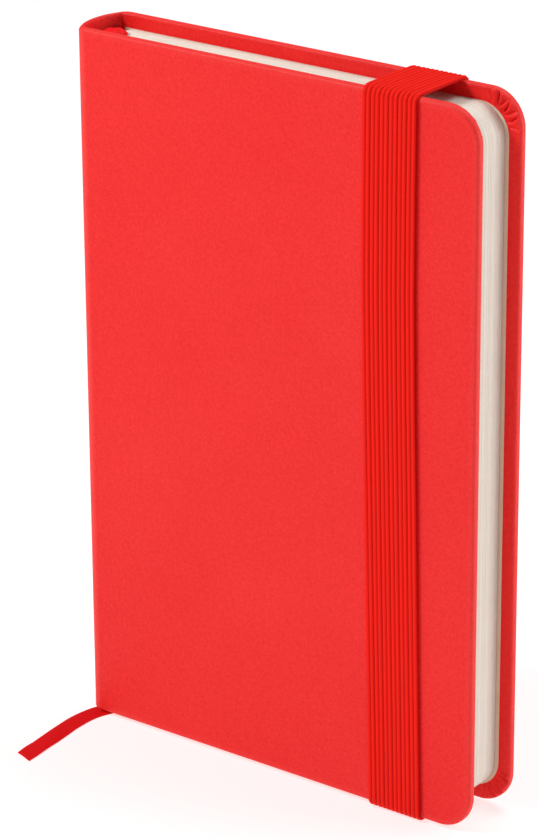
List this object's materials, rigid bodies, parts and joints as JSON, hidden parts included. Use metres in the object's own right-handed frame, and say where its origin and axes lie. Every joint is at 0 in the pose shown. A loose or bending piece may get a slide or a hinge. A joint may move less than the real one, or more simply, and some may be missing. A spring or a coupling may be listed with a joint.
{
  "type": "pocket notebook",
  "caption": "Hardcover pocket notebook with a hollow rounded spine, sewn leaves, a ribbon bookmark and a ribbed elastic closure band.",
  "frame": {"origin": "bottom centre of the closed notebook standing on its tail, without the ribbon's free tail", "axes": "+Z from tail to head, +X from spine to fore edge, the front cover faces -Y"},
  "size_m": [0.0924, 0.0407, 0.1416],
  "materials": {
    "leatherette": "fine-grained red leatherette, satin",
    "board": "grey binder's board",
    "strip": "thin card",
    "paper": "cream uncoated paper",
    "endpaper": "cream endpaper",
    "lining": "mull set in dry glue",
    "thread": "white linen thread",
    "elastic": "ribbed red elastic webbing",
    "ribbon": "red satin ribbon"
  },
  "bodies": {
    "rear_cover": {"rear_board": "board", "rear_cover_cloth": "leatherette", "rear_pastedown": "endpaper", "elastic_ends": "elastic"},
    "spine": {"spine_strip": "strip", "spine_cloth": "leatherette"},
    "front_cover": {"front_board": "board", "front_cover_cloth": "leatherette", "front_pastedown": "endpaper"},
    "text_block": {"section_12": "paper", "lining_12": "lining", "thread_12": "thread", "rear_flyleaf": "endpaper", "ribbon_loop": "ribbon", "ribbon_tail": "ribbon"},
    "front_leaf": {"front_flyleaf": "endpaper"},
    "leaves_01": {"section_01": "paper", "lining_01": "lining", "thread_01": "thread"},
    "leaves_02": {"section_02": "paper", "lining_02": "lining", "thread_02": "thread"},
    "leaves_03": {"section_03": "paper", "lining_03": "lining", "thread_03": "thread"},
    "leaves_04": {"section_04": "paper", "lining_04": "lining", "thread_04": "thread"},
    "leaves_05": {"section_05": "paper", "lining_05": "lining", "thread_05": "thread"},
    "leaves_06": {"section_06": "paper", "lining_06": "lining", "thread_06": "thread"},
    "leaves_07": {"section_07": "paper", "lining_07": "lining", "thread_07": "thread", "ribbon_run": "ribbon"},
    "leaves_08": {"section_08": "paper", "lining_08": "lining", "thread_08": "thread"},
    "leaves_09": {"section_09": "paper", "lining_09": "lining", "thread_09": "thread"},
    "leaves_10": {"section_10": "paper", "lining_10": "lining", "thread_10": "thread"},
    "leaves_11": {"section_11": "paper", "lining_11": "lining", "thread_11": "thread"},
    "elastic": {"elastic_band": "elastic"}
  },
  "joints": [
    {"name": "spine_opening", "type": "hinge", "parent": "rear_cover", "child": "spine", "pos_m": [-0.0438, 0.00751, 0.0708], "axis": [0, 0, -1], "range_deg": [0, 90]},
    {"name": "front_cover_opening", "type": "hinge", "parent": "spine", "child": "front_cover", "pos_m": [-0.0438, -0.00751, 0.0708], "axis": [0, 0, -1], "range_deg": [0, 90]},
    {"name": "block_shift", "type": "slide", "parent": "rear_cover", "child": "text_block", "axis": [-1, 0, 0], "range_m": [0, 0.00851]},
    {"name": "front_leaf_turning", "type": "hinge", "parent": "text_block", "child": "front_leaf", "pos_m": [-0.0428, 0, 0.0708], "axis": [0, 0, -1], "range_deg": [0, 180]},
    {"name": "leaves_01_turning", "type": "hinge", "parent": "text_block", "child": "leaves_01", "pos_m": [-0.0428, 0, 0.0708], "axis": [0, 0, -1], "range_deg": [0, 180]},
    {"name": "leaves_02_turning", "type": "hinge", "parent": "text_block", "child": "leaves_02", "pos_m": [-0.0428, 0, 0.0708], "axis": [0, 0, -1], "range_deg": [0, 179.6]},
    {"name": "leaves_03_turning", "type": "hinge", "parent": "text_block", "child": "leaves_03", "pos_m": [-0.0428, 0, 0.0708], "axis": [0, 0, -1], "range_deg": [0, 178.8]},
    {"name": "leaves_04_turning", "type": "hinge", "parent": "text_block", "child": "leaves_04", "pos_m": [-0.0428, 0, 0.0708], "axis": [0, 0, -1], "range_deg": [0, 176.8]},
    {"name": "leaves_05_turning", "type": "hinge", "parent": "text_block", "child": "leaves_05", "pos_m": [-0.0428, 0, 0.0708], "axis": [0, 0, -1], "range_deg": [0, 172]},
    {"name": "leaves_06_turning", "type": "hinge", "parent": "text_block", "child": "leaves_06", "pos_m": [-0.0428, 0, 0.0708], "axis": [0, 0, -1], "range_deg": [0, 158]},
    {"name": "leaves_07_turning", "type": "hinge", "parent": "text_block", "child": "leaves_07", "pos_m": [-0.0428, 0, 0.0708], "axis": [0, 0, -1], "range_deg": [0, 22]},
    {"name": "leaves_08_turning", "type": "hinge", "parent": "text_block", "child": "leaves_08", "pos_m": [-0.0428, 0, 0.0708], "axis": [0, 0, -1], "range_deg": [0, 8]},
    {"name": "leaves_09_turning", "type": "hinge", "parent": "text_block", "child": "leaves_09", "pos_m": [-0.0428, 0, 0.0708], "axis": [0, 0, -1], "range_deg": [0, 3.2]},
    {"name": "leaves_10_turning", "type": "hinge", "parent": "text_block", "child": "leaves_10", "pos_m": [-0.0428, 0, 0.0708], "axis": [0, 0, -1], "range_deg": [0, 1.2]},
    {"name": "leaves_11_turning", "type": "hinge", "parent": "text_block", "child": "leaves_11", "pos_m": [-0.0428, 0, 0.0708], "axis": [0, 0, -1], "range_deg": [0, 0.4]},
    {"name": "elastic_swing", "type": "hinge", "parent": "rear_cover", "child": "elastic", "pos_m": [0.0278, 0.00792, 0.0708], "axis": [0, 0, 1], "range_deg": [0, 180], "deforming": ["elastic_band"]}
  ],
  "couplings": [
    {"joint": "front_cover_opening", "follows": "spine_opening", "ratio": 1},
    {"joint": "block_shift", "follows": "spine_opening", "m_per_rad": 0.0054208},
    {"joint": "front_leaf_turning", "follows": "spine_opening", "ratio": 2},
    {"joint": "leaves_01_turning", "follows": "spine_opening", "ratio": 2},
    {"joint": "leaves_02_turning", "follows": "spine_opening", "ratio": 1.9956},
    {"joint": "leaves_03_turning", "follows": "spine_opening", "ratio": 1.9867},
    {"joint": "leaves_04_turning", "follows": "spine_opening", "ratio": 1.9644},
    {"joint": "leaves_05_turning", "follows": "spine_opening", "ratio": 1.9111},
    {"joint": "leaves_06_turning", "follows": "spine_opening", "ratio": 1.7556},
    {"joint": "leaves_07_turning", "follows": "spine_opening", "ratio": 0.24444},
    {"joint": "leaves_08_turning", "follows": "spine_opening", "ratio": 0.088889},
    {"joint": "leaves_09_turning", "follows": "spine_opening", "ratio": 0.035556},
    {"joint": "leaves_10_turning", "follows": "spine_opening", "ratio": 0.013333},
    {"joint": "leaves_11_turning", "follows": "spine_opening", "ratio": 0.0044444},
    {"joint": "elastic_swing", "follows": "spine_opening", "ratio": 2}
  ]
}
